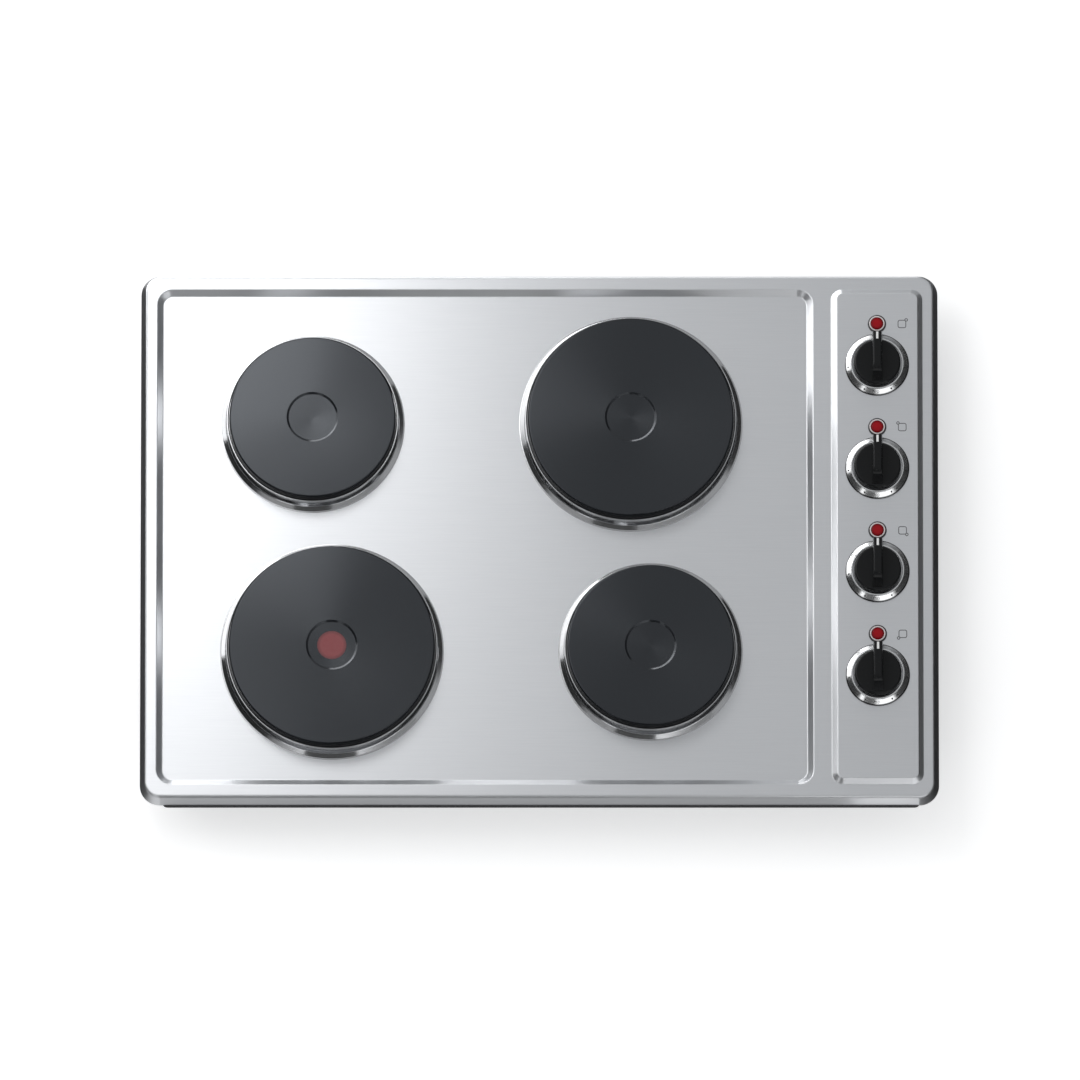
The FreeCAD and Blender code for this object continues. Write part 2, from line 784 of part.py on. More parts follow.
def on_wall(solid, wall, along):
    """Carry a solid made about the origin, +X out of the wall, to its place along a wall."""
    x, y, angle = WALLS[wall]
    solid.rotate(Vec(0, 0, 0), UP, angle)
    step = Vec(along, 0, 0) if wall in ("front", "back") else Vec(0, along, 0)
    solid.translate(Vec(x, y, 0) + step)
    return solid


def wall_hole(radius, z, wall, along):
    return on_wall(Part.makeCylinder(radius, 8, Vec(-4, 0, z), OUT), wall, along)


def make_box():
    height = z_under - box_top_gap
    section = bent_section([
        (sheet, height, 0), (sheet, sheet, bend), (sheet + box_floor_edge, sheet, 0)], sheet)
    walls = frame_sweep(section, wall_box, box_corner)
    inset = sheet + box_floor_edge
    floor = slab(grow(wall_box, -inset), box_corner - inset, 0, sheet)
    for x, y, radius in BURNERS.values():
        for k in range(-2, 3):
            at = x + k * vent_pitch
            slot = (at - vent_width / 2, y - vent_length / 2, at + vent_width / 2, y + vent_length / 2)
            floor = floor.cut(slab(slot, 0.48 * vent_width, -1, sheet + 1))
    box = fuse(walls + [floor])
    for place in BRACKETS:
        box = box.cut(wall_hole(screw_radius + screw_clearance, z_screw, *place))
    for place in CLAMPS:
        box = box.cut(wall_hole(screw_radius + screw_clearance, clamp_screw_level, *place))
    save("burner_box", box.cut(wall_hole(bush_radius + bush_gap, inlet_level, "back", inlet_x)))


def box_bracket(wall, along):
    """Angle under the sheet that the box wall is screwed to."""
    points = [
        (0, z_under, 0), (bracket_foot, z_under, bracket_bend), (bracket_foot, z_under - bracket_drop, 0)]
    angle = strip(points, bracket_sheet, bracket_width, Vec(-sheet - bracket_foot, 0, 0), 0)
    angle = angle.cut(Part.makeCylinder(screw_radius + press_gap, 12, Vec(-sheet - 6, 0, z_screw), OUT))
    return on_wall(angle, wall, along)


def wall_screw(wall, along, z, lift):
    """Pan-head screw through the box wall, its head outside by the lift of what it holds."""
    head = Part.makeCylinder(screw_head, screw_head_rise, Vec(lift, 0, z), OUT)
    shank = Part.makeCylinder(screw_radius, screw_length + lift, Vec(lift, 0, z), OUT * -1)
    return on_wall(head.fuse(shank).removeSplitter(), wall, along)


def hold_down(wall, along):
    """Bent clamp on the box wall whose tongue reaches out under the worktop."""
    points = [
        (clamp_sheet, clamp_top, 0), (clamp_sheet, clamp_foot, bracket_bend), (clamp_reach, clamp_foot, 0)]
    clamp = strip(points, clamp_sheet, clamp_width, Vec(0, 0, 0), 0)
    hole = Part.makeCylinder(screw_radius + screw_clearance, 12, Vec(-6, 0, clamp_screw_level), OUT)
    clamp = clamp.cut(hole)
    clamp = clamp.cut(disc(clamp_screw_radius + press_gap, 0, 2 * clamp_foot, clamp_screw_reach, 0))
    return on_wall(clamp, wall, along)


def clamp_screw(wall, along):
    """Pressure screw that is turned up against the worktop."""
    neck = clamp_screw_bottom + clamp_head_rise
    head = hexagon(clamp_head, clamp_screw_bottom, neck, clamp_screw_reach, 0)
    shank = disc(clamp_screw_radius, neck, clamp_screw_top, clamp_screw_reach, 0)
    return on_wall(head.fuse(shank).removeSplitter(), wall, along)


def make_inlet():
    """Moulded cable bush in the back wall, with the mains terminal block inside the box."""
    wall = wall_box[3]
    along = Vec(0, 1, 0)
    length = sheet + bush_barrel
    barrel = Part.makeCylinder(bush_radius, length, Vec(inlet_x, wall - length, inlet_level), along)
    face = Vec(inlet_x, wall, inlet_level)
    flange = Part.makeCylinder(bush_radius + bush_flange, bush_flange_rise, face, along)
    bush = barrel.fuse(flange).removeSplitter()
    bore = Part.makeCylinder(bush_bore, 4 * length, Vec(inlet_x, wall - 2 * length, inlet_level), along)
    save("cable_bush", bush.cut(bore))
    centre = wall - mains_back
    level = sheet + mains_level
    body = block(mains_long, mains_wide, sheet, sheet + mains_deep, inlet_x, centre)
    for k in (-1, 0, 1):
        x = inlet_x + k * mains_pitch
        start = Vec(x, centre - mains_wide, level)
        body = body.cut(Part.makeCylinder(mains_barrel, 2 * mains_wide, start, along))
        body = body.cut(disc(mains_screw, level, sheet + 2 * mains_deep, x, centre))
    save("mains_terminal_block", body)


def wire_run(name, index):
    """Lead from a switch tab along the box floor and up to its plate's connector."""
    x, y, radius = BURNERS[name]
    switch_y = CONTROLS[name]
    level = sheet + wire_radius + wire_gap + index * (2 * wire_radius + wire_space)
    start = Vec(knob_x - wire_start, switch_y, z_rail - switch_deep)
    target = Vec(x - barrel_pitch, terminal_y(y), z_cover - terminal_deep)
    corners = [
        (start, 0), (Vec(start.x, start.y, level), wire_elbow), (Vec(target.x, start.y, level), wire_bend),
        (Vec(target.x, target.y, level), wire_elbow), (target, 0)]
    return tube_along(corners, wire_radius)


def main():
    os.makedirs("parts", exist_ok=True)
    make_top()
    make_gasket()
    for name, place in BURNERS.items():
        make_hotplate(name, *place)
        make_spill_ring(name, *place)
        make_coil(name, *place)
        make_bridge(name, *place)
    places = BURNERS.values()
    save("coil_fillers", [coil_filler(*p) for p in places])
    save("base_covers", [base_cover(*p) for p in places])
    save("plate_studs", [plate_stud(*p) for p in places])
    save("stud_nuts", [stud_nut(*p) for p in places])
    save("burner_terminals", [burner_terminal(*p) for p in places])
    make_limiter()
    for name, y in CONTROLS.items():
        make_bezel(name, y)
        make_knob(name, y)
        make_spindle(name, y)
        make_washer(name, y)
        make_switch(name, y)
        make_lens(name, y)
    save("switch_screws", [s for y in CONTROLS.values() for s in switch_screws(y)])
    save("lamp_bodies", [lamp_body(y) for y in CONTROLS.values()])
    make_rail()
    make_box()
    save("box_brackets", [box_bracket(*p) for p in BRACKETS])
    save("box_screws", [wall_screw(*p, z_screw, 0.0) for p in BRACKETS])
    save("hold_down_clamps", [hold_down(*p) for p in CLAMPS])
    save("clamp_wall_screws", [wall_screw(*p, clamp_screw_level, clamp_sheet) for p in CLAMPS])
    save("clamp_screws", [clamp_screw(*p) for p in CLAMPS])
    make_inlet()
    save("wiring_harness", [wire_run(name, k) for k, name in enumerate(CONTROLS)])


main()
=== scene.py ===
import bpy
import bmesh
import math
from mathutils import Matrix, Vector


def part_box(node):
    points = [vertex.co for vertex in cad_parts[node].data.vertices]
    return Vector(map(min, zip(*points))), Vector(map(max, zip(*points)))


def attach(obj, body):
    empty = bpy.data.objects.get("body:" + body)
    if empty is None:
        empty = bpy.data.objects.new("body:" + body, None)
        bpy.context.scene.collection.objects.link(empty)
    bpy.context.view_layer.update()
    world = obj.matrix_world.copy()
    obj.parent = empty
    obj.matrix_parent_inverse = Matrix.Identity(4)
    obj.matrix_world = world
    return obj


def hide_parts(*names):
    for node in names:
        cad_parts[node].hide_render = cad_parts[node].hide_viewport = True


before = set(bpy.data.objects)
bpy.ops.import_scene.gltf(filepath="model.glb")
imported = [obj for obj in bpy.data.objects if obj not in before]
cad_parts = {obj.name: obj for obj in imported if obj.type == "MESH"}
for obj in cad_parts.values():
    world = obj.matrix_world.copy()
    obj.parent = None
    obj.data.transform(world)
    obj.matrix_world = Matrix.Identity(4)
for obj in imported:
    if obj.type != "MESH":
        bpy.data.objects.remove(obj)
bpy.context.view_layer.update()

# Units in metres
MM = 0.001
MICRON = 0.000001

PLACES = ("rear_left", "rear_right", "front_left", "front_right")


# Materials

class Paint:
    """One procedural material, built up a layer at a time."""

    def __init__(self, name, colour, metal=0.0, rough=0.5):
        self.mat = bpy.data.materials.new(name)
        self.mat.use_nodes = True
        self.nodes = self.mat.node_tree.nodes
        self.links = self.mat.node_tree.links
        self.shader = self.nodes["Principled BSDF"]
        self.coords = self.nodes.new("ShaderNodeTexCoord")
        self.put("Base Color", (*colour, 1.0))
        self.put("Metallic", metal)
        self.put("Roughness", rough)

    def put(self, socket, value):
        """Set one value for the whole surface."""
        self.shader.inputs[socket].default_value = value

    def add(self, kind, **settings):
        """Add a node with these settings."""
        node = self.nodes.new(kind)
        for key, value in settings.items():
            setattr(node, key, value)
        return node

    def noise(self, scale, stretch=(1, 1, 1), detail=3.0):
        """Noise in the part's own frame, stretched along its axes."""
        place = self.add("ShaderNodeMapping")
        place.inputs["Scale"].default_value = stretch
        self.links.new(self.coords.outputs["Object"], place.inputs["Vector"])
        node = self.add("ShaderNodeTexNoise")
        node.inputs["Scale"].default_value = scale
        node.inputs["Detail"].default_value = detail
        self.links.new(place.outputs["Vector"], node.inputs["Vector"])
        return node.outputs["Fac"]

    def radius(self):
        """Distance from the piece's own upright axis, as a share of its width."""
        shift = self.add("ShaderNodeVectorMath", operation="SUBTRACT")
        shift.inputs[1].default_value = (0.5, 0.5, 0.0)
        self.links.new(self.coords.outputs["Generated"], shift.inputs[0])
        flat = self.add("ShaderNodeVectorMath", operation="MULTIPLY")
        flat.inputs[1].default_value = (1.0, 1.0, 0.0)
        self.links.new(shift.outputs["Vector"], flat.inputs[0])
        length = self.add("ShaderNodeVectorMath", operation="LENGTH")
        self.links.new(flat.outputs["Vector"], length.inputs[0])
        return length.outputs["Value"]

    def grooves(self, scale, detail=2.0):
        """Uneven turning grooves round the piece's own axis."""
        node = self.add("ShaderNodeTexNoise", noise_dimensions="1D")
        node.inputs["Scale"].default_value = scale
        node.inputs["Detail"].default_value = detail
        self.links.new(self.radius(), node.inputs["W"])
        return node.outputs["Fac"]

    def cells(self, scale):
        """Patches of random colour in the part's own frame."""
        node = self.add("ShaderNodeTexVoronoi", feature="F1")
        node.inputs["Scale"].default_value = scale
        self.links.new(self.coords.outputs["Object"], node.inputs["Vector"])
        return node.outputs["Color"]

    def tint(self, source, first, last, start=0.3, end=0.7):
        """Colour that runs from first to last as the source runs from start to end."""
        ramp = self.add("ShaderNodeValToRGB")
        ramp.color_ramp.elements[0].position = start
        ramp.color_ramp.elements[0].color = (*first, 1.0)
        ramp.color_ramp.elements[1].position = end
        ramp.color_ramp.elements[1].color = (*last, 1.0)
        self.links.new(source, ramp.inputs["Fac"])
        self.links.new(ramp.outputs["Color"], self.shader.inputs["Base Color"])

    def vary(self, socket, source, first, last, start=0.25, end=0.75):
        """Value that runs from first to last as the source runs from start to end."""
        spread = self.add("ShaderNodeMapRange")
        spread.inputs["From Min"].default_value = start
        spread.inputs["From Max"].default_value = end
        spread.inputs["To Min"].default_value = first
        spread.inputs["To Max"].default_value = last
        self.links.new(source, spread.inputs["Value"])
        self.links.new(spread.outputs["Result"], self.shader.inputs[socket])

    def relief(self, source, depth, strength=1.0):
        """Node that raises detail of a real depth in metres."""
        node = self.add("ShaderNodeBump")
        node.inputs["Distance"].default_value = depth
        node.inputs["Strength"].default_value = strength
        self.links.new(source, node.inputs["Height"])
        return node

    def crown(self, depth):
        """Slight rise of a turned disc towards its middle."""
        square = self.add("ShaderNodeMath", operation="POWER")
        square.inputs[1].default_value = 2.0
        self.links.new(self.radius(), square.inputs[0])
        # The radius is half the width at the edge, so four times its square is one there
        fall = self.add("ShaderNodeMath", operation="MULTIPLY")
        fall.inputs[1].default_value = -4.0
        self.links.new(square.outputs[0], fall.inputs[0])
        return self.relief(fall.outputs[0], depth).outputs["Normal"]

    def bump(self, source, depth, strength=1.0, under=None):
        """Raised detail, over the form that an earlier normal gives."""
        node = self.relief(source, depth, strength)
        if under:
            self.links.new(under, node.inputs["Normal"])
        self.links.new(node.outputs["Normal"], self.shader.inputs["Normal"])

    def turned_sheen(self, amount):
        """Gloss of a surface turned on a lathe, spread across its grooves."""
        lie = self.add("ShaderNodeTangent", direction_type="RADIAL", axis="Z")
        quarter_turn = 0.25
        self.put("Anisotropic", amount)
        self.put("Anisotropic Rotation", quarter_turn)
        self.links.new(lie.outputs["Tangent"], self.shader.inputs["Tangent"])

    def brushed_sheen(self, amount):
        """Gloss of a sheet brushed along its length, spread across the lines."""
        shape = self.add("ShaderNodeNewGeometry")
        across = self.add("ShaderNodeVectorMath", operation="CROSS_PRODUCT")
        across.inputs[0].default_value = (1.0, 0.0, 0.0)
        self.links.new(shape.outputs["Normal"], across.inputs[1])
        self.put("Anisotropic", amount)
        self.links.new(across.outputs["Vector"], self.shader.inputs["Tangent"])


def steel_sheet():
    """Stainless sheet brushed along its length."""
    paint = Paint("brushed_steel", (0.69, 0.7, 0.715), metal=1.0, rough=0.36)
    lines = paint.noise(30.0, stretch=(1.0, 60.0, 60.0), detail=4.0)
    paint.tint(lines, (0.678, 0.689, 0.709), (0.704, 0.714, 0.732))
    paint.vary("Roughness", paint.noise(22.0, stretch=(0.6, 40.0, 40.0)), 0.34, 0.39)
    paint.bump(paint.noise(60.0, stretch=(1.0, 80.0, 80.0)), 4 * MICRON, 0.3)
    paint.brushed_sheen(0.5)
    return paint


def polished_collar():
    """Steel polished on a lathe."""
    paint = Paint("polished_collar", (0.47, 0.475, 0.485), metal=1.0, rough=0.12)
    paint.tint(paint.grooves(260.0), (0.43, 0.435, 0.445), (0.51, 0.515, 0.525))
    paint.vary("Roughness", paint.noise(300.0), 0.09, 0.14)
    paint.bump(paint.grooves(400.0), 3 * MICRON, 0.4)
    return paint


def cast_iron():
    """Turned iron with a black coating, with painted shade at the rim where its reflection is taken away.
    """
    paint = Paint("coated_iron", (0.004, 0.005, 0.006), rough=0.28)
    paint.tint(paint.noise(900.0, detail=4.0), (0.003, 0.0035, 0.0045), (0.005, 0.006, 0.0075))
    # Painted shade: the reflection falls almost to nothing at the rim, so the plate's edge shows as a
    # dark outline
    paint.vary("Specular IOR Level", paint.radius(), 0.67, 0.06, 0.492, 0.498)
    paint.put("Specular Tint", (0.88, 0.93, 1.0, 1.0))
    paint.vary("Roughness", paint.grooves(170.0, 3.0), 0.2, 0.25)
    paint.bump(paint.grooves(190.0, 3.0), 20 * MICRON, 0.25, paint.crown(1 * MM))
    paint.turned_sheen(0.6)
    return paint


def chrome():
    """Bright ring with painted shade along its outer edge, a dark line where it meets the deck."""
    bright = (0.7, 0.705, 0.71)
    paint = Paint("dial_chrome", bright, metal=1.0, rough=0.18)
    # Painted shade: the outermost edge of the ring is darkened, standing in for the shadow where it meets
    # the deck
    paint.tint(paint.radius(), bright, (0.05, 0.051, 0.053), 0.479, 0.489)
    paint.vary("Roughness", paint.grooves(120.0), 0.15, 0.22)
    paint.bump(paint.noise(700.0), 2 * MICRON, 0.2)
    return paint


def knob_plastic():
    """Black moulding with a fine satin grain."""
    paint = Paint("knob_plastic", (0.006, 0.0065, 0.007), rough=0.3)
    paint.tint(paint.noise(1400.0), (0.004, 0.0045, 0.005), (0.008, 0.0085, 0.009))
    paint.put("Specular IOR Level", 0.2)
    paint.vary("Roughness", paint.noise(240.0), 0.2, 0.28)
    paint.bump(paint.noise(2600.0), 20 * MICRON, 0.25)
    return paint


def lens_plastic():
    """Red lens, darker towards its edge as painted shade of a domed lens."""
    paint = Paint("lens_red", (0.2, 0.003, 0.006), rough=0.2)
    # Painted shade: the red darkens towards the edge, in place of the shading a domed lens would get
    paint.tint(paint.radius(), (0.32, 0.006, 0.01), (0.12, 0.001, 0.003), 0.25, 0.5)
    paint.put("Specular IOR Level", 0.15)
    paint.bump(paint.noise(900.0), 50 * MICRON, 0.2)
    return paint


def plastic(name, dark, light, rough, grain=1500.0):
    """Moulded or fired surface with a fine grain."""
    paint = Paint(name, light, rough=rough)
    paint.tint(paint.noise(grain), dark, light)
    paint.vary("Roughness", paint.noise(grain / 4), rough - 0.05, rough + 0.07)
    paint.bump(paint.noise(grain * 1.6), 30 * MICRON, 0.3)
    return paint


def zinc(name, dark, light, flake):
    """Galvanised sheet with its crystal pattern."""
    paint = Paint(name, light, metal=1.0, rough=0.4)
    paint.tint(paint.cells(flake), dark, light, 0.1, 0.9)
    paint.vary("Roughness", paint.noise(flake * 1.5), 0.34, 0.5)
    paint.bump(paint.noise(flake * 4), 20 * MICRON, 0.25)
    return paint


def metal(name, dark, light, rough, grain=600.0):
    """Plain drawn or turned metal."""
    paint = Paint(name, light, metal=1.0, rough=rough)
    paint.tint(paint.noise(grain), dark, light)
    paint.vary("Roughness", paint.noise(grain * 0.6), rough - 0.05, rough + 0.08)
    paint.bump(paint.noise(grain * 3), 10 * MICRON, 0.3)
    return paint


def foam():
    """Dark open-cell foam."""
    cell_scale = 1600.0
    paint = Paint("seal_foam", (0.05, 0.05, 0.052), rough=0.9)
    paint.tint(paint.cells(cell_scale), (0.025, 0.025, 0.027), (0.07, 0.07, 0.072), 0.1, 0.9)
    paint.bump(paint.cells(cell_scale), 300 * MICRON, 0.7)
    return paint


def sleeve():
    """Woven glass-fibre sleeve of the leads."""
    weave_scale = 1300.0
    paint = Paint("glass_sleeve", (0.62, 0.58, 0.48), rough=0.7)
    paint.tint(paint.cells(weave_scale), (0.5, 0.46, 0.36), (0.7, 0.66, 0.56), 0.1, 0.9)
    paint.bump(paint.cells(weave_scale), 200 * MICRON, 0.6)
    return paint


def enamel():
    """Fired red enamel that thins out towards its edge."""
    paint = Paint("red_enamel", (0.17, 0.03, 0.034), rough=0.45)
    paint.tint(paint.radius(), (0.205, 0.039, 0.043), (0.105, 0.021, 0.024), 0.38, 0.5)
    paint.vary("Roughness", paint.noise(420.0), 0.3, 0.6)
    paint.bump(paint.noise(420.0), 100 * MICRON, 0.5)
    return paint


def ink(name, dark, light):
    """Printed layer, slightly uneven."""
    paint = Paint(name, light, rough=0.5)
    paint.tint(paint.noise(2500.0), dark, light)
    paint.bump(paint.noise(3000.0), 10 * MICRON, 0.2)
    return paint


# One look for each material slot of the part
LOOKS = {
    "top_steel": steel_sheet(),
    "collar_steel": polished_collar(),
    "iron": cast_iron(),
    "bezel_chrome": chrome(),
    "knob_black": knob_plastic(),
    "lens_red": lens_plastic(),
    "lamp_grey": plastic("lamp_collar", (0.02, 0.021, 0.023), (0.035, 0.036, 0.038), 0.3),
    "foam": foam(),
    "box_zinc": zinc("galvanised_sheet", (0.42, 0.43, 0.44), (0.58, 0.59, 0.6), 120.0),
    "fixing_zinc": zinc("plated_fixings", (0.5, 0.5, 0.49), (0.62, 0.62, 0.61), 500.0),
    "ceramic": plastic("fired_ceramic", (0.62, 0.6, 0.55), (0.74, 0.72, 0.67), 0.6),
    "coil_alloy": metal("coil_alloy", (0.2, 0.19, 0.18), (0.32, 0.3, 0.28), 0.45),
    "spindle_steel": metal("spindle_steel", (0.5, 0.5, 0.5), (0.6, 0.6, 0.6), 0.25),
    "switch_case": plastic("switch_moulding", (0.03, 0.026, 0.023), (0.05, 0.044, 0.04), 0.45),
    "washer_brass": metal("washer_brass", (0.55, 0.4, 0.15), (0.68, 0.5, 0.22), 0.3),
    "bush_black": plastic("bush_moulding", (0.015, 0.015, 0.016), (0.03, 0.03, 0.031), 0.5),
    "wire_sleeve": sleeve(),
}
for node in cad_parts.values():
    for holder in node.material_slots:
        holder.material = LOOKS[holder.material.name].mat

WHITE_INK = ink("white_ink", (0.74, 0.74, 0.73), (0.84, 0.84, 0.83))
GREY_INK = ink("grey_ink", (0.07, 0.07, 0.075), (0.11, 0.11, 0.115))
BLACK_INK = ink("black_ink", (0.015, 0.015, 0.016), (0.03, 0.03, 0.031))
RED_ENAMEL = enamel()
PALE_RIM = plastic("lamp_rim", (0.62, 0.56, 0.56), (0.76, 0.7, 0.69), 0.35)


# Mesh helpers, all in millimetres

INK = 0.06                     # thickness of a printed layer


def piece(name, mesh, paint, body):
    """Turn a millimetre mesh into a finished piece that rides on a body."""
    bmesh.ops.recalc_face_normals(mesh, faces=mesh.faces)
    data = bpy.data.meshes.new(name)
    bmesh.ops.scale(mesh, vec=(MM, MM, MM), verts=mesh.verts)
    mesh.to_mesh(data)
    mesh.free()
    thing = bpy.data.objects.new(name, data)
    bpy.context.scene.collection.objects.link(thing)
    data.materials.append(paint.mat)
    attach(thing, body)
    return thing


def join_loops(mesh, here, there, smooth=False):
    """Add the faces between two closed loops of equal count."""
    count = len(here)
    for i in range(count):
        j = (i + 1) % count
        face = mesh.faces.new((here[i], here[j], there[j], there[i]))
        face.smooth = smooth


def spun(mesh, profile, x, y, steps=64):
    """Add a closed ring: (radius, level) corners carried round an upright axis."""
    rows = []
    for k in range(steps):
        turn = 2 * math.pi * k / steps
        rows.append([
            mesh.verts.new((x + r * math.cos(turn), y + r * math.sin(turn), z)) for r, z in profile])
    for k in range(steps):
        join_loops(mesh, rows[k], rows[(k + 1) % steps], smooth=True)


def lifted(mesh, outline, lift, rise):
    """Corners of an outline, each one raised over its level lift(x, y)."""
    return [mesh.verts.new((x, y, lift(x, y) + rise)) for x, y in outline]


def thick_outline(mesh, outline, lift, depth=INK):
    """Add a thin closed plate that lies on the levels lift(x, y)."""
    top = lifted(mesh, outline, lift, depth)
    low = lifted(mesh, outline, lift, 0.0)
    mesh.faces.new(top)
    mesh.faces.new(low[::-1])
    join_loops(mesh, low, top)


def ring_band(mesh, outer, inner, lift, depth=INK):
    """Add a thin closed band between two outlines of equal count."""
    edges = ((outer, depth), (inner, depth), (inner, 0.0), (outer, 0.0))
    loops = [lifted(mesh, outline, lift, rise) for outline, rise in edges]
    for here, there in zip(loops, loops[1:] + loops[:1]):
        join_loops(mesh, here, there)


def circle(x, y, radius, steps=24):
    """Outline of a circle."""
    turns = [2 * math.pi * k / steps for k in range(steps)]
    return [(x + radius * math.cos(t), y + radius * math.sin(t)) for t in turns]


def soft_square(x, y, half, corner, steps=6):
    """Outline of a square with rounded corners."""
    points = []
    for quarter in range(4):
        start = quarter * math.pi / 2
        cx = x + (half - corner) * (1 if quarter in (0, 3) else -1)
        cy = y + (half - corner) * (1 if quarter in (0, 1) else -1)
        for k in range(steps + 1):
            turn = start + math.pi / 2 * k / steps
            points.append((cx + corner * math.cos(turn), cy + corner * math.sin(turn)))
    return points


def flat_at(level):
    """Lift of a flat face."""
    def lift(x, y):
        return level
    return lift


# Places read from the frame, in millimetres

def node_box(node):
    """Lowest and highest corner of a node."""
    low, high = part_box(node)
    return low / MM, high / MM


def node_centre(node):
    """Middle of a node's box."""
    low, high = node_box(node)
    return (low + high) / 2


DECK_LEVEL = node_box("hob_top")[1].z
LAMP_LEVEL = node_box("lamp_bodies")[1].z
KNOBS = {place: node_centre("spindle_" + place) for place in PLACES}
LAMPS = {place: node_centre("lamp_lens_" + place) for place in PLACES}


# Spill collars: a rolled bead beside the plate edge, a steep wall and a flared foot

COLLAR_FOOT = 8.0              # plate edge to the outer edge of the foot
COLLAR_LIP = -1.5              # the lip reaches in under the plate edge
COLLAR_STEPS = 160
# Radius beyond the plate edge, height over the field and length of the eased bend
COLLAR_SKIN = [
    (COLLAR_LIP, 15.0, 0.0), (0.9, 15.0, 0.25), (1.25, 16.4, 0.45), (2.5, 16.4, 0.5),
    (3.1, 3.2, 0.6), (7.1, 0.55, 0.3), (COLLAR_FOOT, 0.5, 0.2), (COLLAR_FOOT, 0.0, 0.0)]
# Radius and height of the hidden side
COLLAR_INSIDE = [
    (7.0, 0.0), (2.65, 2.8), (2.1, 15.9), (1.65, 15.9), (1.35, 14.5), (COLLAR_LIP, 14.5)]
FLAT_HOLD = 1.3                # where the flat beside a bend is held, in lengths of the bend


def eased(corners, steps=5):
    """Line through corners, each one rounded over its own length and held flat beside it."""
    line = [Vector(corners[0][:2])]
    for before, (r, z, ease), after in zip(corners, corners[1:], corners[2:]):
        here = Vector((r, z))
        back = (Vector(before[:2]) - here).normalized() * ease
        ahead = (Vector(after[:2]) - here).normalized() * ease
        line.append(here + back * FLAT_HOLD)
        for k in range(steps + 1):
            share = k / steps
            line.append(here + back * (1 - share) ** 2 + ahead * share ** 2)
        line.append(here + ahead * FLAT_HOLD)
    line.append(Vector(corners[-1][:2]))
    return line


def spill_collar(place):
    """Polished collar round one plate."""
    node = "spill_ring_" + place
    low, high = node_box(node)
    middle = node_centre(node)
    edge = (high.x - low.x) / 2 - COLLAR_FOOT
    section = eased(COLLAR_SKIN) + [Vector(corner) for corner in COLLAR_INSIDE]
    mesh = bmesh.new()
    spun(mesh, [(edge + r, low.z + z) for r, z in section], middle.x, middle.y, COLLAR_STEPS)
    thing = piece("spill_collar_" + place, mesh, LOOKS["collar_steel"], "hob")
    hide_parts(node)


for place in PLACES:
    spill_collar(place)


# Foam seal stood out of the front lip as a dark edge: a painted shadow, in place of the shadow under the
# lip

SEAL_REACH = 1.9               # how far the squeezed foam stands out of the lip
SEAL_ROOT = 2.0                # how far behind the lip it starts
SEAL_HEIGHT = 2.6
SEAL_BELOW = 0.6               # share of its height that is under the lip
SEAL_ENDS = (-334.0, 337.0)    # where it starts and stops along X
# Distance from an end, and the share of the reach there
SEAL_TAPER = [(0.0, 0.2), (1.5, 0.8), (4.0, 1.0)]
# Share of the way out and share of the height, round the section
SEAL_SECTION = [(0.0, 0.0), (0.55, 0.1), (0.9, 0.35), (1.0, 0.55), (0.85, 0.8), (0.5, 0.95), (0.0, 1.0)]


def painted_shadow_seal_edge():
    """Squeezed edge of the foam along the front, thinner at its ends; a dark piece that stands in for the
    shadow under the lip.
    """
    lip = node_box("hob_top")[0]
    left, right = SEAL_ENDS
    stations = [(left + inset, share) for inset, share in SEAL_TAPER]
    stations += [(right - inset, share) for inset, share in reversed(SEAL_TAPER)]
    root = lip.y + SEAL_ROOT
    base = lip.z - SEAL_HEIGHT * SEAL_BELOW
    mesh = bmesh.new()
    rows = []
    for x, share in stations:
        reach = SEAL_ROOT + SEAL_REACH * share
        rows.append([
            mesh.verts.new((x, root - reach * out, base + SEAL_HEIGHT * up)) for out, up in SEAL_SECTION])
    for here, there in zip(rows, rows[1:]):
        join_loops(mesh, here, there)
    mesh.faces.new(rows[0])
    mesh.faces.new(rows[-1][::-1])
    # Painted shadow: dark foam standing out where the shadow under the lip falls
    piece("painted_shadow_seal_edge", mesh, LOOKS["foam"], "hob")


painted_shadow_seal_edge()


# Printed marks of the dials, on the cone of the dial ring

CONE_FOOT = (28.5, 1.0)        # radius of the cone, and its height over the deck
CONE_TOP = (23.9, 4.8)
DIAL_RADIUS = 26.0             # circle on which the marks stand
# Places of the dots and words, in degrees round from +X
DIAL_DOTS = (187.0, 244.0, 299.0, 353.0)
DIAL_WORDS = {"OFF": 90.0, "LO": 150.0, "MED": 268.0, "HI": 312.0}
DOT_RADIUS = 0.75
DOT_STEPS = 16
WORD_HEIGHT = 2.9
WORD_CURVE_STEPS = 3


def cone_lift(middle):
    """Lift of the cone of the dial ring round a knob."""
    slope = (CONE_TOP[1] - CONE_FOOT[1]) / (CONE_FOOT[0] - CONE_TOP[0])

    def lift(x, y):
        inset = CONE_FOOT[0] - math.hypot(x - middle.x, y - middle.y)
        return DECK_LEVEL + CONE_FOOT[1] + inset * slope
    return lift


def on_circle(middle, radius, turn):
    """Point on a circle round a knob."""
    return middle.x + radius * math.cos(turn), middle.y + radius * math.sin(turn)


def word_mesh(word):
    """Corners and faces of a plain word, centred, as 2-D points."""
    text = bpy.data.curves.new("word", "FONT")
    text.body = word
    text.align_x = "CENTER"
    text.align_y = "CENTER"
    text.size = WORD_HEIGHT
    text.resolution_u = WORD_CURVE_STEPS
    holder = bpy.data.objects.new("word", text)
    data = bpy.data.meshes.new_from_object(holder)
    points = [(v.co.x, v.co.y) for v in data.vertices]
    faces = [list(p.vertices) for p in data.polygons]
    bpy.data.objects.remove(holder)
    bpy.data.curves.remove(text)
    bpy.data.meshes.remove(data)
    return points, faces


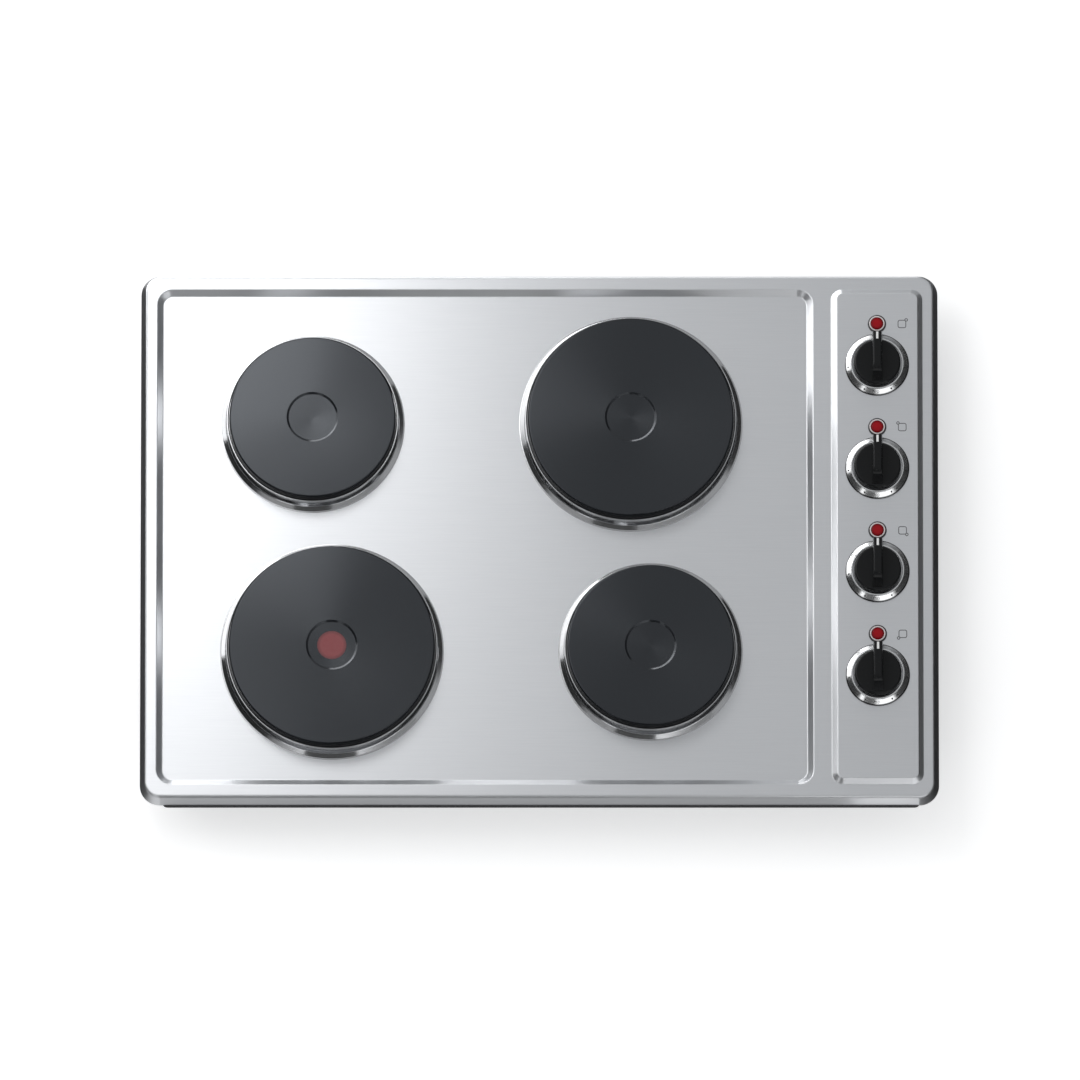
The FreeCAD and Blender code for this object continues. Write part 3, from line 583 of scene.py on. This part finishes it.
def bent_word(mesh, word, middle, degrees, lift):
    """Add a word that follows the dial ring, its feet outwards below and inwards above."""
    points, faces = word_mesh(word)
    middle_turn = math.radians(degrees)
    foot = -1 if math.sin(middle_turn) < 0 else 1
    corners = []
    for u, v in points:
        x, y = on_circle(middle, DIAL_RADIUS + foot * v, middle_turn - foot * u / DIAL_RADIUS)
        corners.append(mesh.verts.new((x, y, lift(x, y) + INK)))
    for face in faces:
        mesh.faces.new([corners[i] for i in face])


def dial_marks(place):
    """Dots and words of one dial."""
    middle = KNOBS[place]
    lift = cone_lift(middle)
    mesh = bmesh.new()
    for degrees in DIAL_DOTS:
        x, y = on_circle(middle, DIAL_RADIUS, math.radians(degrees))
        thick_outline(mesh, circle(x, y, DOT_RADIUS, DOT_STEPS), lift)
    for word, degrees in DIAL_WORDS.items():
        bent_word(mesh, word, middle, degrees, lift)
    piece("dial_marks_" + place, mesh, BLACK_INK, "hob")


# Marks on the deck and the knobs, and the rims of the lamps

PICTO_OFFSET = 22.3            # lamp to its pictogram
PICTO_HALF = 3.8
PICTO_CORNER = 1.9
PICTO_LINE = 0.7
PICTO_PLATE = 1.5              # radius of the plate's circle
PICTO_LAYERS = 1.5             # thickness of the circle, in layers of ink, to cover the square
POINTER_HALF = 1.0
POINTER_LENGTH = 6.4
POINTER_INSET = 1.2            # tip of the grip to the end of the line
# Radius, and height over the top of the lamp's collar
RIM_PROFILE = [(5.7, 0.0), (6.9, 0.0), (6.75, 0.25), (6.3, 0.4), (5.85, 0.3)]


def pictogram(place):
    """Small plan of the hob with the plate of this knob marked at its corner."""
    x = LAMPS[place].x + PICTO_OFFSET
    y = LAMPS[place].y
    deck = flat_at(DECK_LEVEL)
    mesh = bmesh.new()
    ring_band(mesh, soft_square(x, y, PICTO_HALF, PICTO_CORNER),
              soft_square(x, y, PICTO_HALF - PICTO_LINE, PICTO_CORNER - PICTO_LINE), deck)
    cx = x + (PICTO_HALF if place.endswith("right") else -PICTO_HALF)
    cy = y + (PICTO_HALF if place.startswith("rear") else -PICTO_HALF)
    ring_band(mesh, circle(cx, cy, PICTO_PLATE), circle(cx, cy, PICTO_PLATE - PICTO_LINE), deck,
              INK * PICTO_LAYERS)
    piece("pictogram_" + place, mesh, GREY_INK, "hob")


def pointer_line(place):
    """White line on the nose of the grip."""
    nose = node_box("knob_" + place)[1]
    left = KNOBS[place].x - POINTER_HALF
    right = KNOBS[place].x + POINTER_HALF
    end = nose.y - POINTER_INSET
    start = end - POINTER_LENGTH
    mesh = bmesh.new()
    thick_outline(mesh, [(left, start), (right, start), (right, end), (left, end)], flat_at(nose.z))
    piece("pointer_line_" + place, mesh, WHITE_INK, "knob_" + place)


def lamp_rim(place):
    """Pale inner rim of the lamp's collar, round the lens."""
    mesh = bmesh.new()
    spun(mesh, [(r, LAMP_LEVEL + rise) for r, rise in RIM_PROFILE], LAMPS[place].x, LAMPS[place].y)
    piece("lamp_rim_" + place, mesh, PALE_RIM, "hob")


for place in PLACES:
    dial_marks(place)
    pictogram(place)
    pointer_line(place)
    lamp_rim(place)


# Red enamel mark in the dish of the rapid plate

DISH_DEPTH = 1.3
DISH_FALL = 0.5                # how far the dish's floor falls to its middle
DISH_FLAT = 21.2               # radius of that floor
MARK_RADIUS = 13.0
MARK_STEPS = 96
CENTRE_RADIUS = 0.8
CENTRE_STEPS = 20


def dish_lift(plate):
    """Lift of the shallow cone at the bottom of a plate's dish."""
    middle = node_centre(plate)
    edge = node_box(plate)[1].z - DISH_DEPTH

    def lift(x, y):
        away = math.hypot(x - middle.x, y - middle.y)
        return edge - DISH_FALL * (1 - away / DISH_FLAT)
    return lift


def rapid_mark():
    """Red disc with a small dark point at its centre."""
    plate = "hotplate_front_left"
    middle = node_centre(plate)
    lift = dish_lift(plate)
    mesh = bmesh.new()
    thick_outline(mesh, circle(middle.x, middle.y, MARK_RADIUS, MARK_STEPS), lift)
    piece("rapid_mark", mesh, RED_ENAMEL, "hob")
    mesh = bmesh.new()
    thick_outline(mesh, circle(middle.x, middle.y, CENTRE_RADIUS, CENTRE_STEPS), lift, INK * 2)
    piece("rapid_mark_centre", mesh, BLACK_INK, "hob")


rapid_mark()


# Studio, in metres

FLOOR_HALF = 14.0
FLOOR_LEVEL = -0.0005          # just clear of the object's underside
FLOOR_GREY = 0.9
FLOOR_GLOW = 0.4               # light that the floor adds where it is seen
WORLD_LEVEL = 0.56
WORLD_COLOUR = (0.97, 0.985, 1.0, 1.0)


def studio_paint(name, grey):
    """Matt studio surface."""
    colour = (grey, grey, grey)
    paint = Paint(name, colour, rough=0.9)
    paint.tint(paint.noise(2.0), [0.99 * part for part in colour], colour)
    return paint


def glow_for_eye(paint, glow):
    """Lift a surface where it is seen or mirrored, without lighting the object."""
    rays = paint.add("ShaderNodeLightPath")
    seen = rays.outputs["Is Camera Ray"]
    for kind in ("Is Glossy Ray", "Is Transmission Ray"):
        either = paint.add("ShaderNodeMath", operation="MAXIMUM")
        paint.links.new(seen, either.inputs[0])
        paint.links.new(rays.outputs[kind], either.inputs[1])
        seen = either.outputs[0]
    level = paint.add("ShaderNodeMath", operation="MULTIPLY")
    level.inputs[1].default_value = glow
    paint.links.new(seen, level.inputs[0])
    paint.put("Emission Color", (1.0, 1.0, 1.0, 1.0))
    paint.links.new(level.outputs[0], paint.shader.inputs["Emission Strength"])


def stage_sheet(name, corners, paint):
    """Four-cornered sheet of the studio."""
    data = bpy.data.meshes.new(name)
    data.from_pydata(corners, [], [(0, 1, 2, 3)])
    data.materials.append(paint.mat)
    sheet = bpy.data.objects.new(name, data)
    bpy.context.scene.collection.objects.link(sheet)
    return sheet


def along_x(x0, x1, near, far):
    """Corners of a card between two edges that run along X, each at its own (y, z)."""
    return [(x0, *near), (x1, *near), (x1, *far), (x0, *far)]


def standing(start, end, height, lean=0.0):
    """Corners of a card that stands on a floor line and leans over to +X."""
    top_start = (start[0] + lean, start[1], height)
    top_end = (end[0] + lean, end[1], height)
    return [(*start, 0.0), (*end, 0.0), top_end, top_start]


def studio_floor():
    """Pale floor that keeps the object's shadow."""
    paint = studio_paint("studio_floor", FLOOR_GREY)
    glow_for_eye(paint, FLOOR_GLOW)
    front = (-FLOOR_HALF, FLOOR_LEVEL)
    back = (FLOOR_HALF, FLOOR_LEVEL)
    stage_sheet("floor", along_x(-FLOOR_HALF, FLOOR_HALF, front, back), paint)


def studio_flag(name, grey, corners):
    """Card that gives polished edges something to mirror; the camera doesn't see it."""
    card = stage_sheet(name, corners, studio_paint(name, grey))
    card.visible_camera = False
    card.visible_diffuse = False
    card.visible_shadow = False


def soft_panel(name, spot, aim, size, radiance):
    """Rectangular soft light of an even radiance."""
    lamp = bpy.data.lights.new(name, "AREA")
    lamp.shape = "RECTANGLE"
    lamp.size, lamp.size_y = size
    lamp.energy = radiance * math.pi * size[0] * size[1]
    thing = bpy.data.objects.new(name, lamp)
    thing.location = spot
    thing.rotation_euler = (Vector(aim) - Vector(spot)).to_track_quat("-Z", "Y").to_euler()
    bpy.context.scene.collection.objects.link(thing)


def studio_world():
    """Even pale surround."""
    world = bpy.data.worlds.new("studio")
    world.use_nodes = True
    backdrop = world.node_tree.nodes["Background"]
    backdrop.inputs["Color"].default_value = WORLD_COLOUR
    backdrop.inputs["Strength"].default_value = WORLD_LEVEL
    bpy.context.scene.world = world


# Grey value and corners of each card
FLAGS = {
    "right_flag": (0.03, standing((1.6, -1.8), (1.6, 1.8), 0.95, lean=0.15)),
    "front_flag": (0.02, along_x(-2.2, 2.4, (-1.6, 0.0), (-1.5, 0.42))),
    "front_roof": (0.52, along_x(-1.6, 1.8, (-1.5, 1.25), (-0.6, 1.6))),
    "front_shade": (0.1, along_x(-0.62, 0.2, (-1.45, 0.5), (-1.2, 1.5))),
    "front_far_mat": (0.06, along_x(-1.6, 1.8, (-1.6, 0.0), (-0.5, 0.0))),
    "left_front_flag": (0.02, standing((-1.7, 0.25), (-1.2, -1.5), 1.1)),
    "back_mat": (0.1, along_x(-0.35, 1.6, (0.62, 0.0), (2.0, 0.0))),
    "back_fence": (0.1, standing((0.0, 2.0), (2.2, 2.0), 0.15)),
    "left_mat": (0.02, along_x(-0.6, -0.345, (-0.3, 0.0), (0.3, 0.0))),
    "left_fence": (0.02, standing((-0.6, -0.3), (-0.6, 0.3), 0.12)),
    "right_mat": (0.02, along_x(0.345, 1.6, (-0.4, 0.0), (0.4, 0.0))),
    "front_mat": (0.65, along_x(-0.345, 0.28, (-0.5, 0.0), (-0.235, 0.0))),
}

# Place, aim, width and height, and radiance of each soft light
PANELS = {
    "overhead_left": ((-0.555, 0.745, 1.4), (-0.555, 0.745, 0.0), (0.77, 0.65), 3.4),
    "overhead_front": ((-1.2, 0.15, 1.4), (-1.2, 0.15, 0.0), (1.9, 0.5), 0.95),
    "left_wall": ((-2.2, 1.8, 0.55), (0.0, 1.8, 0.3), (3.0, 0.9), 1.6),
    "left_strip": ((-1.35, 2.25, 0.33), (0.0, 0.0, 0.1), (3.1, 0.56), 6.0),
    "front_strip": ((0.3, -1.6, 0.85), (0.3, 0.0, 0.1), (4.4, 0.6), 1.1),
}

studio_floor()
for flag, (grey, corners) in FLAGS.items():
    studio_flag(flag, grey, corners)
for panel, settings in PANELS.items():
    soft_panel(panel, *settings)
studio_world()
bpy.context.scene.view_settings.view_transform = "Standard"


# Camera: a long lens, straight on from the front, 74 degrees above the worktop

CAMERA_AIM = Vector((0.0005, -0.0033, 0.063))
CAMERA_DISTANCE = 30.0
CAMERA_RISE = math.radians(74.0)
CAMERA_REACH = 90.0            # how far the camera sees
FRAME_WIDTH = 0.9609           # metres across the frame at the aim point
SENSOR = 36.0


def make_camera():
    """Camera at the photograph's viewing angle."""
    lens = bpy.data.cameras.new("camera")
    lens.sensor_width = SENSOR
    lens.lens = SENSOR * CAMERA_DISTANCE / FRAME_WIDTH
    lens.clip_end = CAMERA_REACH
    camera = bpy.data.objects.new("camera", lens)
    back = Vector((0.0, -math.cos(CAMERA_RISE), math.sin(CAMERA_RISE)))
    camera.location = CAMERA_AIM + back * CAMERA_DISTANCE
    camera.rotation_euler = (-back).to_track_quat("-Z", "Y").to_euler()
    bpy.context.scene.collection.objects.link(camera)
    bpy.context.scene.camera = camera


make_camera()
